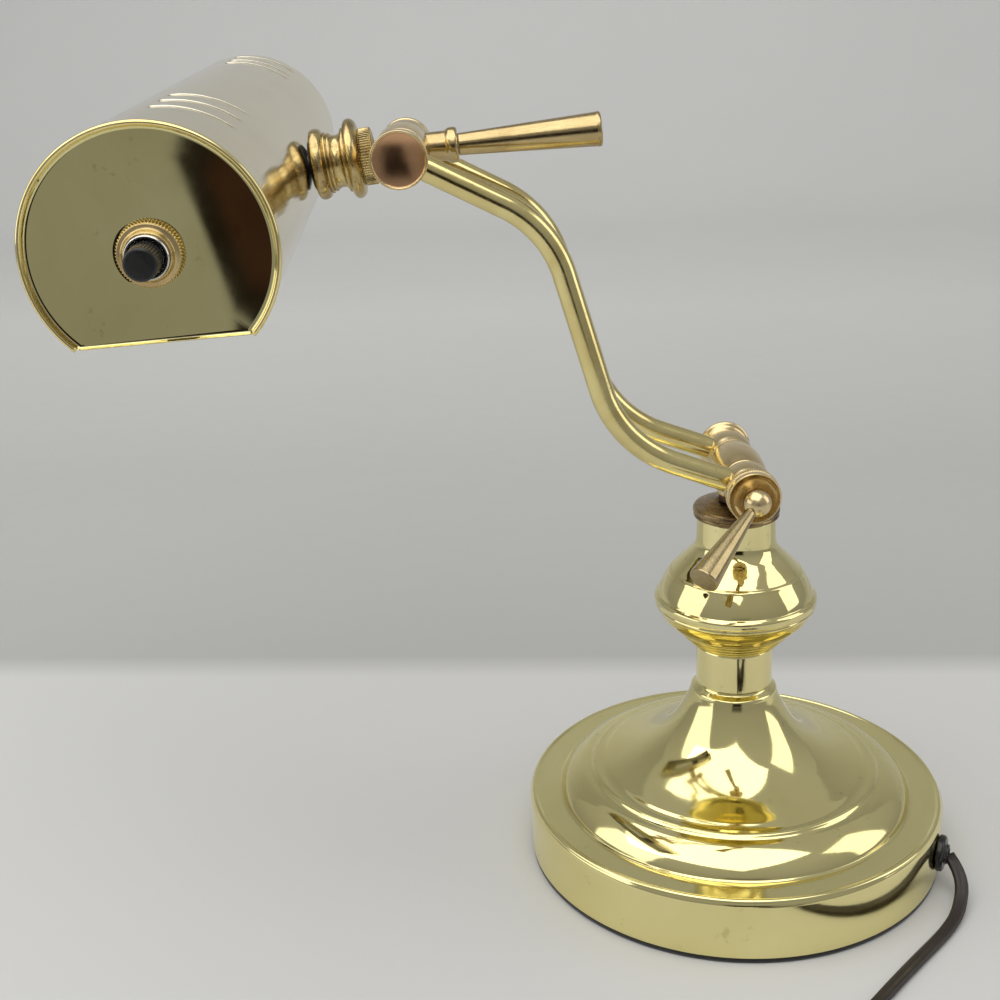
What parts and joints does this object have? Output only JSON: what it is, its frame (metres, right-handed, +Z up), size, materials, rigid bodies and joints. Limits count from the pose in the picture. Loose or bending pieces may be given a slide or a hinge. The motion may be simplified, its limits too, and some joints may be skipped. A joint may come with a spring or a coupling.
{
  "type": "piano lamp",
  "caption": "Adjustable brass piano lamp: weighted round foot, turned column, clamped twin-tube swing arm and a tilting horizontal half-round shade with a rotary switch.",
  "frame": {"origin": "centre of the foot's underside, on the surface the lamp stands on", "axes": "+Z up; the arm and shade reach towards -X, the hinge pins and the shade lie along Y, the switch end is -Y"},
  "size_m": [0.4005, 0.4487, 0.4119],
  "materials": {
    "brass_polished": "polished pale yellow-green brass plate",
    "brass_cup": "polished saturated yellow brass, ridged",
    "brass_dark": "tarnished dark brass",
    "brass_satin": "satin aged brass",
    "brass_brushed": "lengthwise brushed brass",
    "brass_aged": "pitted aged gold-toned brass",
    "brass_copper_tone": "turned copper-toned brass",
    "brass_shade": "satin champagne brass",
    "brass_nut": "knurled brass",
    "steel": "zinc plated steel",
    "iron": "rough casting",
    "felt": "black felt",
    "rubber_black": "black rubber",
    "cord_brown": "dark brown vinyl",
    "blade_brass": "bright blade",
    "plastic_black": "black plastic",
    "bulb_metal": "bulb cap",
    "bulb_frost": "frosted glass"
  },
  "bodies": {
    "base": {"base_shell": "brass_polished", "base_weight": "iron", "felt_pad": "felt", "cord_grommet": "rubber_black", "neck_collar": "brass_polished", "lower_cup": "brass_cup", "vase_body": "brass_polished", "column_cap": "brass_dark", "threaded_rod": "steel", "bottom_nut": "steel", "bottom_washer": "steel", "power_cord": "cord_brown", "cord_coil": "cord_brown", "cord_tie": "rubber_black", "plug_body": "cord_brown", "plug_blades": "blade_brass"},
    "swivel": {"swivel_nipple": "steel", "swivel_lock_nut": "brass_dark", "lower_center_barrel": "brass_satin"},
    "arm": {"lower_barrel_near": "brass_satin", "lower_barrel_far": "brass_satin", "lower_pin": "steel", "lower_dish_nut": "brass_satin", "lower_end_cap": "brass_satin", "arm_tube_near": "brass_brushed", "arm_tube_far": "brass_brushed", "upper_barrel_near": "brass_satin", "upper_barrel_far": "brass_satin", "upper_pin": "steel", "upper_end_cap": "brass_satin"},
    "clamp": {"lever_ball": "brass_satin", "clamp_lever": "brass_satin"},
    "friction_disc": {"upper_disc_knob": "brass_copper_tone"},
    "head": {"upper_center_barrel": "brass_satin", "handle_hub": "brass_satin", "head_handle": "brass_satin", "neck_nipple": "steel", "neck_lock_ring": "brass_aged", "neck_spool": "brass_aged", "neck_washer": "rubber_black"},
    "shade": {"shade_shell": "brass_shade", "shade_end_near": "brass_polished", "shade_end_far": "brass_polished", "shade_nut": "steel", "socket_bracket": "steel", "lamp_socket": "plastic_black", "bulb_cap": "bulb_metal", "bulb_glass": "bulb_frost", "switch_body": "plastic_black", "switch_bushing": "steel", "switch_ring_nut": "brass_nut", "switch_lead": "cord_brown"},
    "knob": {"switch_knob": "plastic_black"}
  },
  "joints": [
    {"name": "arm_swivel", "type": "hinge", "parent": "base", "child": "swivel", "pos_m": [0, 0, 0.194], "axis": [0, 0, 1], "range_deg": [-165, 165]},
    {"name": "arm_tilt", "type": "hinge", "parent": "swivel", "child": "arm", "pos_m": [0, 0, 0.2108], "axis": [0, 1, 0], "range_deg": [-35, 50]},
    {"name": "clamp_turn", "type": "hinge", "parent": "arm", "child": "clamp", "pos_m": [0, -0.0515, 0.2108], "axis": [0, 1, 0], "range_deg": [-90, 90]},
    {"name": "friction_disc_turn", "type": "hinge", "parent": "arm", "child": "friction_disc", "pos_m": [-0.1547, -0.043, 0.3706], "axis": [0, 1, 0], "range_deg": [-180, 180]},
    {"name": "head_tilt", "type": "hinge", "parent": "arm", "child": "head", "pos_m": [-0.1547, 0, 0.3706], "axis": [0, 1, 0], "range_deg": [-45, 60]},
    {"name": "shade_swivel", "type": "hinge", "parent": "head", "child": "shade", "pos_m": [-0.19689, 0, 0.36549], "axis": [0.9928, 0, 0.1201], "range_deg": [-20, 20]},
    {"name": "switch_turn", "type": "hinge", "parent": "shade", "child": "knob", "pos_m": [-0.23655, -0.1758, 0.35337], "axis": [-0.029, 0.9989, 0.0381], "continuous": true}
  ]
}
